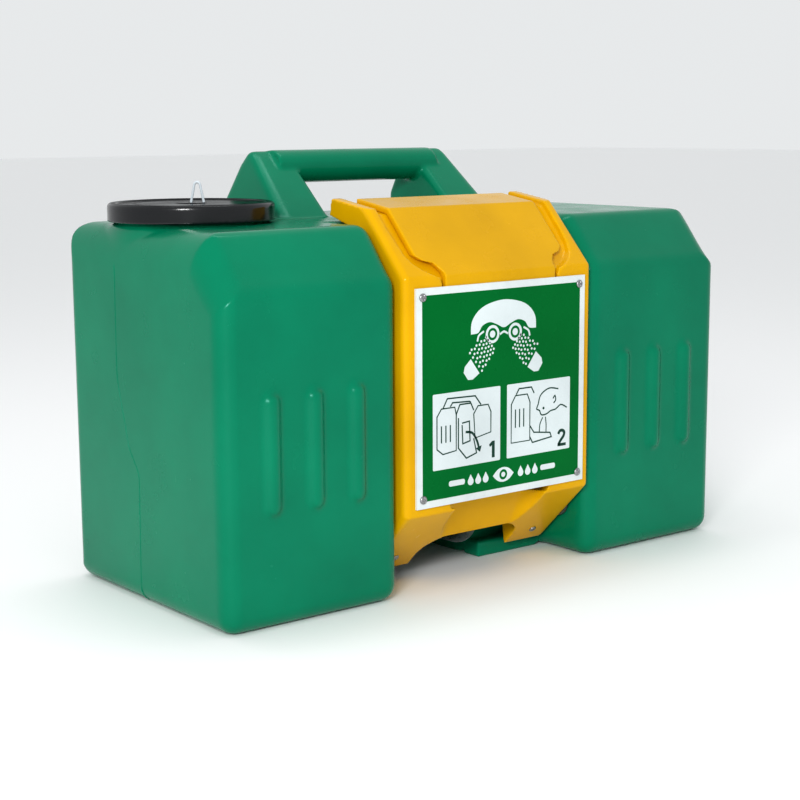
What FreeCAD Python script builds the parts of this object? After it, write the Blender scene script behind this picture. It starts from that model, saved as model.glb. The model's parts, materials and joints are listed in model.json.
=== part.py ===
import FreeCAD, Part
import math
import os
import re
import Sketcher

# Portable gravity-fed eyewash station, millimetres, +Z up.
# Every piece is drawn with x = 0 on the middle plane, y = 0 on the front of the tank's two
# lobes and z = 0 on the floor. Its placement then moves it by SHIFT along Y, so that
# the document's origin is the middle of the whole station's footprint.

SIZES = {
    # Tank: two lobes joined by a set-back middle.
    "tank_depth": 308.0,
    "tank_height": 377.5,
    "lobe_width": 212.5,
    "recess_half": 133.0,
    "bevel_bottom": 332.5,
    "bevel_depth": 46.5,
    "tank_round": 18.0,
    "tank_wall": 5.0,
    "middle_front": 101.0,
    "foot_front": 80.5,
    "foot_height": 18.0,
    "foot_left": 42.0,
    "hose_bay_back": 188.0,
    "hose_bay_height": 112.0,
    "rib_radius": 10.0,
    "rib_rise": 6.5,
    "rib_pitch": 51.0,
    "rib_bottom": 113.0,
    "rib_top": 236.0,
    # Carrying handle.
    "handle_inner": 88.0,
    "handle_width": 50.0,
    "handle_front": 166.0,
    "handle_brow": 253.0,
    "handle_crown": 265.0,
    "handle_nape": 280.0,
    "handle_heel": 302.0,
    "handle_height": 461.0,
    "handle_brow_drop": 9.0,
    "handle_nape_rise": 4.0,
    "handle_root": 365.0,
    "grip_radius": 21.0,
    "grip_back": 258.0,
    "grip_height": 438.5,
    # Fill neck and cap.
    "neck_inset": 92.0,
    "neck_back": 198.0,
    "neck_radius": 78.0,
    "neck_top": 404.0,
    "cap_radius": 87.0,
    "cap_height": 19.0,
    "cap_wall": 4.0,
    "gasket_thick": 1.0,
    "vent_radius": 2.5,
    "loop_height": 25.0,
    "loop_width": 13.0,
    "loop_wire": 1.0,
    "loop_bend": 3.0,
    "loop_tail": 6.0,
    # Pull-down arm.
    "arm_half": 129.0,
    "arm_rise": 5.0,
    "arm_wall": 4.0,
    "arm_round": 7.0,
    "bend_height": 87.0,
    "shoulder_height": 335.0,
    "brow_back": 58.0,
    "brow_height": 402.0,
    "tail_back": 118.0,
    "tail_height": 411.0,
    "tail_thick": 18.0,
    "arm_back": 73.0,
    "heel_back": 69.0,
    "heel_height": 14.0,
    "leg_inner": 70.0,
    "panel_thick": 5.0,
    "panel_back": 35.0,
    "panel_top_back": 16.0,
    "scoop_half": 64.0,
    "scoop_round": 18.0,
    "lip_half": 45.0,
    "window_top": 314.0,
    "top_gap": 1.5,
    # Hood plate set into the arm.
    "hood_half": 103.0,
    "band_half": 77.0,
    "hood_thick": 7.0,
    "rail_groove": 13.0,
    "band_top": 352.0,
    "hood_back": 112.0,
    "shoulder_start": 14.0,
    "shoulder_knee": 7.0,
    "shoulder_low": 5.0,
    "shoulder_reach": 19.0,
    "shoulder_high": 2.0,
    "shoulder_end": 4.0,
    "cut_margin": 30.0,
    # Sign plate and its fasteners.
    "sign_half": 118.5,
    "sign_bottom": 95.5,
    "sign_top": 324.0,
    "sign_thick": 3.0,
    "sign_screw_half": 110.0,
    "sign_screw_low": 105.0,
    "sign_screw_high": 314.5,
    "screw_head_radius": 4.5,
    "screw_head": 2.0,
    "screw_radius": 2.0,
    "insert_radius": 3.5,
    "insert_length": 12.0,
    # Pivot.
    "pivot_back": 45.0,
    "pivot_height": 58.0,
    "pin_radius": 6.0,
    "pin_head_radius": 9.0,
    "pin_head": 3.0,
    "pin_length": 46.0,
    "pin_gap": 0.05,
    "bush_radius": 13.0,
    "bush_length": 12.0,
    "washer_gap": 0.3,
    "block_width": 29.0,
    "block_front": 20.0,
    "block_rear": 18.0,
    "block_bulge": 4.0,
    "block_waist": 8.0,
    "block_shoulder": 16.0,
    "block_top": 22.0,
    "ear_screw_back": 53.0,
    "ear_screw_half": 100.0,
    "ear_screw_length": 11.0,
    # Water way.
    "hose_radius": 9.5,
    "hose_bore": 6.5,
    "water_bore": 4.5,
    "outlet_height": 36.0,
    "outlet_radius": 13.0,
    "outlet_flange": 21.0,
    "spigot_length": 24.0,
    "nut_thick": 8.0,
    "seal_thick": 2.0,
    "clamp_thick": 1.5,
    "clamp_width": 10.0,
    "manifold_height": 285.0,
    "manifold_back": 23.0,
    "manifold_radius": 9.0,
    "head_spread": 42.0,
    "head_radius": 24.0,
    "head_start": 41.0,
    "head_mouth": 63.0,
    "head_wall": 2.0,
    "head_lap": 8.0,
    "collar_length": 10.0,
    "rim_height": 6.0,
    "stub_length": 45.0,
    "rose_thick": 3.0,
    "jet_radius": 1.2,
    "stopper_radius": 25.0,
    "stopper_thick": 9.0,
    "stopper_gap": 0.3,
    "stem_radius": 12.0,
    "bracket_thick": 3.0,
    "bracket_half_height": 14.0,
    "strap_thick": 2.5,
    "strap_spread": 20.0,
}

# Stations along the hose, back and height, from the tank's outlet to the manifold.
HOSE_ROUTE = [(174.0, 36.0), (52.0, 36.0), (34.0, 130.0), (23.0, 200.0), (23.0, 262.0)]

# Inner side of the arm's left rail: distance out from the hood's foot, height from its shoulder.
RAIL_SIDE = [(4, -25), (7, -19), (16, -15.5), (25, -10.5), (32, -4), (36, 5), (38, 18), (39, 38)]

# Lower edge of the arm's panel, sweeping down to the ears: distance out from its straight lip, and back.
LIP_SWEEP = [(10.5, 4), (16.5, 7.5), (21.5, 12), (24.5, 18), (25, 29)]

doc = FreeCAD.newDocument("eyewash_station")
sheet = doc.addObject("Spreadsheet::Sheet", "sizes")
for row, (alias, number) in enumerate(SIZES.items(), start=1):
    sheet.set("A%d" % row, alias)
    sheet.set("B%d" % row, repr(number))
    sheet.setAlias("B%d" % row, alias)
doc.recompute()

NODES = []
BACK = {}
SHIFT = "-(tank_depth - arm_rise - sign_thick - screw_head) / 2"


# ---------------------------------------------------------------- helpers

def bound(text):
    """An expression with every spreadsheet alias written in full."""
    return re.sub(r"[a-z_]{3,}", lambda m: "sizes." + m[0] if m[0] in SIZES else m[0], str(text))


def value(text):
    """The number that an expression gives now."""
    return float(sheet.evalExpression(bound(text)))


def bind(thing, name, text):
    """Tie a property to the spreadsheet."""
    thing.setExpression(name, bound(text))


def outline(body, plane, points, start="0"):
    """A closed sketch of straight sides, each corner held by two dimensions."""
    sketch = body.newObject("Sketcher::SketchObject", body.Name + "_sketch")
    support = [f for f in body.Origin.OriginFeatures if f.Role == plane][0]
    sketch.AttachmentSupport = [(support, "")]
    sketch.MapMode = "FlatFace"
    bind(sketch, "AttachmentOffset.Base.z", start)
    corners = [FreeCAD.Vector(value(across), value(along), 0) for across, along in points]
    count = len(corners)
    for i in range(count):
        sketch.addGeometry(Part.LineSegment(corners[i], corners[(i + 1) % count]), False)
    for i in range(count):
        sketch.addConstraint(Sketcher.Constraint("Coincident", i, 2, (i + 1) % count, 1))
    for i, pair in enumerate(points):
        for kind, text, number in zip(("DistanceX", "DistanceY"), pair, corners[i]):
            held = sketch.addConstraint(Sketcher.Constraint(kind, -1, 1, i, 1, number))
            bind(sketch, "Constraints[%d]" % held, text)
    return sketch


def prism(name, plane, points, length, start="0", middle=False):
    """A body: an outline padded along its plane's normal."""
    body = doc.addObject("PartDesign::Body", name)
    sketch = outline(body, plane, points, start)
    pad = body.newObject("PartDesign::Pad", name + "_pad")
    pad.Profile = sketch
    bind(pad, "Length", length)
    pad.Midplane = middle
    doc.recompute()
    return body


def turned(name, points):
    """A body of revolution about its own Z: corners are radius and height."""
    body = doc.addObject("PartDesign::Body", name)
    sketch = outline(body, "XZ_Plane", points)
    turn = body.newObject("PartDesign::Revolution", name + "_turn")
    turn.Profile = sketch
    turn.ReferenceAxis = (sketch, ["V_Axis"])
    turn.Angle = 360
    doc.recompute()
    return body


def round_edges(body, radius, wanted=None):
    """Fillet every edge of a body, or only the wanted ones."""
    base = body.Tip
    names = ["Edge%d" % (i + 1) for i, edge in enumerate(base.Shape.Edges)
             if wanted is None or wanted(edge)]
    fillet = body.newObject("PartDesign::Fillet", body.Name + "_fillet")
    fillet.Base = (base, names)
    bind(fillet, "Radius", radius)
    doc.recompute()
    return body


def box(name, low, high):
    """A Part box between two corners, each a triple of expressions."""
    solid = doc.addObject("Part::Box", name)
    for side, axis, bottom, top in zip(("Length", "Width", "Height"), "xyz", low, high):
        bind(solid, side, "(%s) - (%s)" % (top, bottom))
        bind(solid, "Placement.Base." + axis, bottom)
    return solid


TURNS = {"x": ((0, 1, 0), 90), "y": ((1, 0, 0), -90), "z": ((0, 0, 1), 0)}


def place(thing, x="0", y="0", z="0", along="z"):
    """Put a piece at a point, with its own Z turned along an axis."""
    axis, angle = TURNS[along]
    thing.Placement = FreeCAD.Placement(FreeCAD.Vector(), FreeCAD.Rotation(FreeCAD.Vector(*axis), angle))
    for letter, text in zip("xyz", (x, y, z)):
        bind(thing, "Placement.Base." + letter, text)
    BACK[thing.Name] = y
    return thing


def rod(name, radius, length, x="0", y="0", z="0", along="z"):
    """A plain cylinder that starts at a point and runs along an axis."""
    solid = doc.addObject("Part::Cylinder", name)
    bind(solid, "Radius", radius)
    bind(solid, "Height", length)
    return place(solid, x, y, z, along)


def fuse(name, things):
    joined = doc.addObject("Part::MultiFuse", name)
    joined.Shapes = things
    joined.Refine = True
    doc.recompute()
    return joined


def cut(name, base, tool):
    rest = doc.addObject("Part::Cut", name)
    rest.Base = base
    rest.Tool = tool
    rest.Refine = True
    doc.recompute()
    return rest


def node(name, thing):
    """Name a finished sub-part and move it into the station's frame."""
    thing.Label = name
    bind(thing, "Placement.Base.y", "(%s) + %s" % (BACK.get(thing.Name, "0"), SHIFT))
    NODES.append(thing)


def mirrored(name, thing):
    """The same piece on the other side of the middle plane."""
    twin = doc.addObject("Part::Mirroring", name)
    twin.Source = thing
    twin.Normal = FreeCAD.Vector(1, 0, 0)
    doc.recompute()
    return twin


def group(name, things):
    """Several equal loose solids in one sub-part."""
    together = doc.addObject("Part::Compound", name)
    together.Links = things
    doc.recompute()
    return together


# ---------------------------------------------------------------- tank

BEVEL = "((tank_height - bevel_bottom) / bevel_depth)"
BEVEL_STRETCH = "sqrt(1 + %s^2)" % BEVEL


def lobe(name, inset):
    """Right-hand lobe, its bevelled side view drawn inset from the outer skin."""
    side = [
        (inset, inset),
        ("tank_depth - " + inset, inset),
        ("tank_depth - " + inset, "tank_height - " + inset),
        ("bevel_depth + %s * (%s - 1) / %s" % (inset, BEVEL_STRETCH, BEVEL), "tank_height - " + inset),
        (inset, "bevel_bottom + %s * (%s - %s)" % (inset, BEVEL, BEVEL_STRETCH)),
    ]
    body = prism(name, "YZ_Plane", side, "lobe_width - 2 * " + inset, "recess_half + " + inset)
    return round_edges(body, "tank_round - " + inset)


def middle(name, inset):
    """Set-back middle of the tank, long enough to run into both lobes."""
    side = [
        ("middle_front + " + inset, inset),
        ("tank_depth - " + inset, inset),
        ("tank_depth - " + inset, "tank_height - " + inset),
        ("middle_front + " + inset, "tank_height - " + inset),
    ]
    body = prism(name, "YZ_Plane", side, "2 * (recess_half + tank_round + tank_wall)", middle=True)
    along_x = lambda edge: abs(edge.tangentAt(edge.FirstParameter).x) > 0.99
    return round_edges(body, "tank_round - " + inset, along_x)


def upright(name, inset):
    """Right-hand side plate of the handle, steep behind and sloping in front."""
    foot_shift = "1.6 * " + inset    # a sloping side's inset, measured level
    brow_shift = "0.6 * " + inset
    side = [
        ("handle_front + " + foot_shift, "handle_root"),
        ("handle_brow + " + brow_shift, "handle_height - handle_brow_drop - " + inset),
        ("handle_crown", "handle_height - " + inset),
        ("handle_nape - " + inset, "grip_height + handle_nape_rise"),
        ("handle_heel - " + inset, "tank_height + grip_radius"),
        ("handle_heel - " + inset, "handle_root"),
    ]
    return prism(name, "YZ_Plane", side, "handle_width - 2 * " + inset, "handle_inner + " + inset)


def rib(name, place_x):
    """A raised half-round rib with ball ends, standing on a lobe's front."""
    back = "rib_radius - rib_rise"
    low = "rib_bottom + rib_radius"
    high = "rib_top - rib_radius"
    bar = rod(name + "_bar", "rib_radius", "(%s) - (%s)" % (high, low), place_x, back, low)
    parts = [bar]
    for end, height in (("low", low), ("high", high)):
        ball = doc.addObject("Part::Sphere", name + "_" + end)
        bind(ball, "Radius", "rib_radius")
        parts.append(place(ball, place_x, back, height))
    return parts


def tank():
    neck_x = "neck_inset - recess_half - lobe_width"
    bay_low = ("-recess_half", "0", "0")
    outer_lobe = lobe("lobe_outer", "0")
    inner_lobe = lobe("lobe_inner", "tank_wall")
    outer_upright = round_edges(upright("upright_outer", "0"), "grip_radius / 3")
    inner_upright = upright("upright_inner", "tank_wall")
    bay = box("hose_bay", bay_low, ("foot_left", "hose_bay_back", "hose_bay_height"))
    bay_skin = box("hose_bay_skin", ("-recess_half - tank_wall", "0", "0"),
                   ("foot_left + tank_wall", "hose_bay_back + tank_wall", "hose_bay_height + tank_wall"))
    foot = box("foot", ("foot_left", "foot_front", "0"), ("recess_half + 5", "middle_front + 5", "foot_height"))
    waist = cut("waist_outer", middle("middle_outer", "0"), bay)
    grip_length = "2 * handle_inner + handle_width"
    grip_start = "-handle_inner - handle_width / 2"
    shell_parts = [
        outer_lobe, mirrored("lobe_outer_left", outer_lobe), waist, foot,
        outer_upright, mirrored("upright_outer_left", outer_upright),
        rod("grip", "grip_radius", grip_length, grip_start, "grip_back", "grip_height", "x"),
        rod("neck", "neck_radius", "neck_top - tank_height + tank_round", neck_x, "neck_back",
            "tank_height - tank_round"),
    ]
    for number in (-1, 0, 1):
        for side, sign in (("left", "-"), ("right", "")):
            spot = "%s(recess_half + lobe_width / 2 + %d * rib_pitch)" % (sign, number)
            shell_parts += rib("rib_%s_%d" % (side, number + 2), spot)
    hollow_parts = [
        inner_lobe, mirrored("lobe_inner_left", inner_lobe),
        cut("waist_inner", middle("middle_inner", "tank_wall"), bay_skin),
        inner_upright, mirrored("upright_inner_left", inner_upright),
        rod("grip_hollow", "grip_radius - tank_wall", grip_length, grip_start, "grip_back",
            "grip_height", "x"),
        rod("neck_bore", "neck_radius - tank_wall", "neck_top - tank_height + tank_round", neck_x,
            "neck_back", "tank_height - tank_round"),
    ]
    # Holes for the outlet fitting and for the two pivot bushes.
    holes = [
        rod("outlet_hole", "outlet_radius", "3 * tank_wall", "0", "hose_bay_back - tank_wall",
            "outlet_height", "y"),
        rod("bush_hole_right", "bush_radius", "3 * tank_wall", "recess_half - tank_wall", "pivot_back",
            "pivot_height", "x"),
        rod("bush_hole_left", "bush_radius", "3 * tank_wall", "-recess_half - 2 * tank_wall",
            "pivot_back", "pivot_height", "x"),
    ]
    skin = fuse("tank_skin", shell_parts)
    hollow = fuse("tank_hollow", hollow_parts)
    node("tank", cut("tank_shell", cut("tank_closed", skin, hollow), fuse("tank_holes", holes)))


# ---------------------------------------------------------------- cap

CAP_X = "neck_inset - recess_half - lobe_width"
CAP_BASE = "neck_top + gasket_thick + cap_wall - cap_height"


def cap():
    top = "cap_height"
    skirt = "cap_radius - cap_wall"
    profile = [(skirt, "0"), ("cap_radius", "0"), ("cap_radius", top), ("0", top),
               ("0", "cap_height - cap_wall"), (skirt, "cap_height - cap_wall")]
    lid = turned("cap_lid", profile)
    rim = lambda edge: (abs(edge.BoundBox.XMax - value("cap_radius")) < 0.01
                        and abs(edge.BoundBox.ZMin - value(top)) < 0.01)
    round_edges(lid, "cap_wall", rim)
    place(lid, CAP_X, "neck_back", CAP_BASE)
    vent = rod("vent_hole", "vent_radius", "cap_wall * 3", CAP_X, "neck_back", "neck_top - cap_wall")
    leg = rod("loop_hole", "loop_wire", "cap_wall * 3", CAP_X + " + 2 * " + LOOP_X,
              "neck_back - 2 * " + LOOP_Y, "neck_top - cap_wall")
    node("fill_cap", cut("cap_drilled", lid, fuse("cap_holes", [vent, leg])))
    ring = [("neck_radius - tank_wall", "0"), ("neck_radius", "0"), ("neck_radius", "gasket_thick"),
            ("neck_radius - tank_wall", "gasket_thick")]
    node("cap_gasket", place(turned("gasket_ring", ring), CAP_X, "neck_back", "neck_top"))


# The loop stands beside the vent hole in the cap's middle, facing the front left corner.
LOOP_X = "loop_width / 2 * cos(38)"
LOOP_Y = "loop_width / 2 * sin(38)"


def straight_and_round(route, radii):
    """A wire of straight runs joined by tangent arcs, one radius for each inner station."""
    edges = []
    start = route[0]
    for before, corner, after, radius in zip(route, route[1:], route[2:], radii):
        back = (before - corner).normalize()
        ahead = (after - corner).normalize()
        half = back.getAngle(ahead) / 2
        reach = radius / math.tan(half)
        bisector = (back + ahead).normalize()
        first = corner + back * reach
        last = corner + ahead * reach
        crown = corner + bisector * (radius / math.sin(half) - radius)
        edges.append(Part.LineSegment(start, first).toShape())
        edges.append(Part.Arc(first, crown, last).toShape())
        start = last
    edges.append(Part.LineSegment(start, route[-1]).toShape())
    return Part.Wire(edges)


def swept(wire, radius):
    """A round section carried along a wire."""
    first = wire.Edges[0]
    ring = Part.Circle(first.Vertexes[0].Point, first.tangentAt(first.FirstParameter), radius)
    return wire.makePipeShell([Part.Wire(ring.toShape())], True, True)


def loop():
    """Clear hairpin loop from the cap's vent hole: the vent's pull."""
    across = FreeCAD.Vector(value(LOOP_X), -value(LOOP_Y), 0)
    deck = FreeCAD.Vector(value(CAP_X), value("neck_back"), value("neck_top + gasket_thick + cap_wall"))
    up = FreeCAD.Vector(0, 0, 1)
    tail = deck - up * value("loop_tail + cap_wall")
    rise = value("loop_height - loop_wire")
    lean = math.atan2(across.Length, rise)
    apex = deck + across + up * (rise + value("loop_bend") * (1 / math.sin(lean) - 1))
    left = deck
    right = deck + across * 2
    stand = FreeCAD.Vector(0, 0, tail.z - deck.z)
    knee = value("loop_bend")
    wire = straight_and_round([left + stand, left, apex, right, right + stand], [knee, knee, knee])
    piece = doc.addObject("Part::Feature", "loop_sweep")
    piece.Shape = swept(wire, value("loop_wire"))
    node("vent_loop", piece)


# ---------------------------------------------------------------- pull-down arm

FACE = "-arm_rise"
SLOPE = "((bend_height - heel_height) / (heel_back + arm_rise))"
SLOPE_STRETCH = "sqrt(1 + %s^2)" % SLOPE
PITCH = "((brow_height - shoulder_height) / (brow_back + arm_rise))"
PITCH_STRETCH = "sqrt(1 + %s^2)" % PITCH
TAIL = "((tail_height - brow_height) / (tail_back - brow_back))"
TAIL_STRETCH = "sqrt(1 + %s^2)" % TAIL


def skin_line(depth, bottom, back):
    """The arm's front, from bottom up and over to the back, at a depth below its surface."""
    brow = ("(brow_height - shoulder_height - %(t)s * brow_back - %(p)s * arm_rise"
            " - (%(d)s) * (%(tq)s - %(pq)s)) / (%(p)s - %(t)s)"
            % {"t": TAIL, "p": PITCH, "d": depth, "tq": TAIL_STRETCH, "pq": PITCH_STRETCH})
    under = "brow_height - (%s) * %s + %s * ((%%s) - brow_back)" % (depth, TAIL_STRETCH, TAIL)
    front = "%s + (%s)" % (FACE, depth)
    shoulder = "shoulder_height + (%s) * (%s - %s)" % (depth, PITCH, PITCH_STRETCH)
    return [(front, bottom), (front, shoulder), (brow, under % brow), (back, under % back)]


def slope_height(back, depth="0"):
    """Height of the arm's lower slope at a distance back, at a depth below its surface."""
    return "bend_height - %s * ((%s) + arm_rise) + (%s) * %s" % (SLOPE, back, depth, SLOPE_STRETCH)


def inner_roof(front):
    """Top of the arm's hollows: parallel to its upper slope, level behind."""
    roof = "(tank_height - top_gap)"
    run = "(%s) + (%s - window_top) / %s" % (front, roof, PITCH)
    return [(front, "window_top"), (run, roof), ("arm_back + 10", roof)]


def hood_prism(name, half, depth, bottom, back, proud, side):
    """A plate bent over the arm's brow. Its left side runs from its narrow foot to its full width."""
    under = skin_line(depth, bottom, back)[::-1]
    face = skin_line(proud, bottom, back)
    plate = prism(name + "_plate", "YZ_Plane", face + under, "2 * (%s)" % half, middle=True)
    outside = "-(%s) - 2" % half
    foot = "%s - cut_margin" % bottom
    corners = [(outside, foot), (side[0][0], foot)] + side + [(outside, side[-1][1])]
    notch = prism(name + "_notch", "XZ_Plane", corners, "2 * tank_depth", middle=True)
    notches = fuse(name + "_notches", [notch, mirrored(name + "_notch_right", notch)])
    return cut(name + "_cut", plate, notches)


def arm_frame():
    front = skin_line("0", "bend_height", "tail_back")
    block = prism("arm_block", "YZ_Plane", front + [
        ("tail_back + 3", "tail_height - tail_thick"),
        ("arm_back + 2", "tank_height + top_gap"),
        ("arm_back", "pivot_height + 4"),
        ("heel_back + 2", "heel_height + 12"),
        ("heel_back", "heel_height"),
    ], "2 * arm_half", middle=True)
    front_sides = lambda edge: (edge.BoundBox.XLength < 0.01 and edge.CenterOfMass.y < value("brow_back")
                                and edge.BoundBox.YMax < value("tail_back") + 1)
    round_edges(block, "arm_round", front_sides)
    leg_front = FACE + " + arm_wall"
    leg = prism("leg_hollow", "YZ_Plane", [
        (leg_front, slope_height(leg_front, "arm_wall"))] + inner_roof(leg_front) + [
        ("arm_back + 10", slope_height("arm_back + 10", "arm_wall"))],
        "arm_half - leg_inner - 2 * arm_wall", "leg_inner + arm_wall")
    bay = prism("front_bay", "YZ_Plane", [
        (FACE + " - 12", "bend_height + 2"), (FACE + " - 12", "window_top")] + inner_roof(leg_front) + [
        ("arm_back + 10", slope_height("arm_back + 10", "panel_thick")),
        ("panel_back + panel_thick", slope_height("panel_back + panel_thick", "panel_thick")),
        ("panel_top_back + panel_thick", "bend_height + 2"),
    ], "2 * leg_inner", middle=True)
    scoop = prism("panel_scoop", "YZ_Plane", [
        ("panel_back", slope_height("panel_back")), ("panel_top_back", "bend_height + 2"),
        (FACE + " - 12", "bend_height + 2"), (FACE + " - 12", "heel_height"),
        ("panel_back", "heel_height"),
    ], "2 * scoop_half", middle=True)
    scoop_middle = value("(panel_back + panel_top_back) / 2")
    beside_panel = lambda edge: (edge.BoundBox.XLength < 0.01
                                 and abs(edge.CenterOfMass.y - scoop_middle) < 1)
    round_edges(scoop, "scoop_round", beside_panel)
    lip = [("lip_half", "panel_back")]
    lip += [("lip_half + %g" % out, "panel_back + %g" % back) for out, back in LIP_SWEEP]
    lip += [("lip_half + %g" % LIP_SWEEP[-1][0], "arm_back + 10")]
    other = [("-(%s)" % out, back) for out, back in reversed(lip)]
    mouth = prism("arm_mouth", "XY_Plane", lip + other, slope_height("panel_back", "panel_thick + 1"))
    rail = [("-band_half - %g" % out, "band_top + %g" % up) for out, up in RAIL_SIDE]
    recess = hood_prism("recess", "hood_half + rail_groove", "hood_thick", "window_top - 1",
                        "tail_back + cut_margin", "-cut_margin", rail)
    tools = [leg, mirrored("leg_hollow_left", leg), bay, scoop, mouth, recess]
    for side, sign in (("left", "-"), ("right", "")):
        for level in ("low", "high"):
            tools.append(rod("insert_hole_%s_%s" % (side, level), "insert_radius", "3 * arm_wall",
                             sign + "sign_screw_half", FACE + " - arm_wall", "sign_screw_" + level, "y"))
        start = "arm_half - 2 * arm_wall" if side == "right" else "-arm_half - arm_wall"
        tools.append(rod("pin_hole_" + side, "pin_radius", "3 * arm_wall", start, "pivot_back",
                         "pivot_height", "x"))
        tools.append(ear_screw("ear_hole_" + side, sign, "screw_radius", "-1"))
    node("arm_frame", cut("arm_shell", block, fuse("arm_tools", tools)))
    shoulder = [
        ("-band_half", "band_top - shoulder_start"),
        ("-band_half - shoulder_knee", "band_top - shoulder_low"),
        ("-band_half - shoulder_reach", "band_top - shoulder_high"),
        ("-hood_half - 1", "band_top + shoulder_end"),
    ]
    node("hood", hood_prism("hood", "hood_half", "hood_thick", "window_top - 1", "hood_back", "0", shoulder))


def ear_screw(name, sign, radius, lift):
    """A rod square to the lower slope, starting lift above its surface and going in."""
    solid = doc.addObject("Part::Cylinder", name)
    bind(solid, "Radius", radius)
    bind(solid, "Height", "ear_screw_length - (%s)" % lift)
    solid.Placement = FreeCAD.Placement(FreeCAD.Vector(), FreeCAD.Rotation(FreeCAD.Vector(1, 0, 0), -45))
    bind(solid, "Placement.Rotation.Angle", "-atan(%s)" % SLOPE)
    bind(solid, "Placement.Base.x", sign + "ear_screw_half")
    bind(solid, "Placement.Base.y", "ear_screw_back + (%s) * %s / %s" % (lift, SLOPE, SLOPE_STRETCH))
    bind(solid, "Placement.Base.z",
         "%s + (%s) / %s" % (slope_height("ear_screw_back"), lift, SLOPE_STRETCH))
    return solid


def ear_screws():
    screws = []
    for side, sign in (("left", "-"), ("right", "")):
        head = ear_screw("ear_head_" + side, sign, "screw_head_radius", "-screw_head")
        bind(head, "Height", "screw_head")
        shank = ear_screw("ear_shank_" + side, sign, "screw_radius", "0")
        screws.append(fuse("ear_screw_" + side, [head, shank]))
    node("ear_screws", group("ear_screw_pair", screws))


def hinge_blocks():
    start = "arm_half - arm_wall - block_width"
    shape = prism("hinge_block", "YZ_Plane", [
        ("pivot_back - block_front", slope_height("pivot_back - block_front", "arm_wall")),
        ("pivot_back + block_rear", slope_height("pivot_back + block_rear", "arm_wall")),
        ("pivot_back + block_rear + block_bulge", "pivot_height - block_waist"),
        ("pivot_back + block_rear", "pivot_height + block_shoulder"),
        ("pivot_back - block_waist", "pivot_height + block_top"),
    ], "block_width", start)
    bore = rod("block_bore", "pin_radius", "2 * block_width", start + " - 5", "pivot_back",
               "pivot_height", "x")
    tap = ear_screw("block_tap", "", "screw_radius", "0")
    block = cut("block_drilled", shape, fuse("block_holes", [bore, tap]))
    node("hinge_block_left", mirrored("block_left", block))
    node("hinge_block_right", group("block_right", [block]))


def pivot(side):
    """Pin, thrust washer and moulded-in bush of one side, drawn on the right."""
    pin_start = "arm_half - arm_wall - block_width - pin_head"
    reach = "pin_length + pin_head"
    pin = turned("pin_" + side, [("0", "0"), ("pin_head_radius", "0"), ("pin_head_radius", "pin_head"),
                                 ("pin_radius", "pin_head"), ("pin_radius", reach), ("0", reach)])
    washer = turned("washer_" + side, [
        ("pin_radius", "0"), ("bush_radius + 2", "0"),
        ("bush_radius + 2", "recess_half - arm_half - washer_gap"),
        ("pin_radius", "recess_half - arm_half - washer_gap")])
    gap = "pin_radius + pin_gap"
    depth = "%s + %s + 1 - recess_half" % (pin_start, reach)
    bush = turned("bush_" + side, [(gap, "0"), ("bush_radius", "0"), ("bush_radius", "bush_length"),
                                   ("0", "bush_length"), ("0", depth), (gap, depth)])
    pieces = (("pivot_pin_", pin, pin_start), ("thrust_washer_", washer, "arm_half"),
              ("pivot_bush_", bush, "recess_half"))
    for name, piece, start in pieces:
        place(piece, start, "pivot_back", "pivot_height", "x")
        if side == "left":
            piece = mirrored(name + "twin", piece)
        node(name + side, piece)


def sign():
    plate = box("sign_board", ("-sign_half", FACE + " - sign_thick", "sign_bottom"),
                ("sign_half", FACE, "sign_top"))
    holes = []
    screws = []
    inserts = []
    for side, mark in (("left", "-"), ("right", "")):
        for level in ("low", "high"):
            spot = side + "_" + level
            x = mark + "sign_screw_half"
            z = "sign_screw_" + level
            holes.append(rod("sign_hole_" + spot, "screw_radius", "3 * sign_thick", x,
                             FACE + " - 2 * sign_thick", z, "y"))
            reach = "sign_thick + insert_length - 2"
            screw = turned("sign_screw_" + spot, [
                ("0", "0"), ("screw_head_radius - 1.2", "0"), ("screw_head_radius", "screw_head * 0.6"),
                ("screw_head_radius", "screw_head"), ("screw_radius", "screw_head"),
                ("screw_radius", "screw_head + " + reach), ("0", "screw_head + " + reach)])
            screws.append(place(screw, x, FACE + " - sign_thick - screw_head", z, "y"))
            insert = turned("sign_insert_" + spot, [
                ("screw_radius", "0"), ("insert_radius", "0"), ("insert_radius", "insert_length"),
                ("screw_radius", "insert_length")])
            inserts.append(place(insert, x, FACE, z, "y"))
    node("sign_plate", cut("sign_drilled", plate, fuse("sign_holes", holes)))
    node("sign_screws", group("sign_screw_set", screws))
    node("sign_inserts", group("sign_insert_set", inserts))


# ---------------------------------------------------------------- water way

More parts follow.
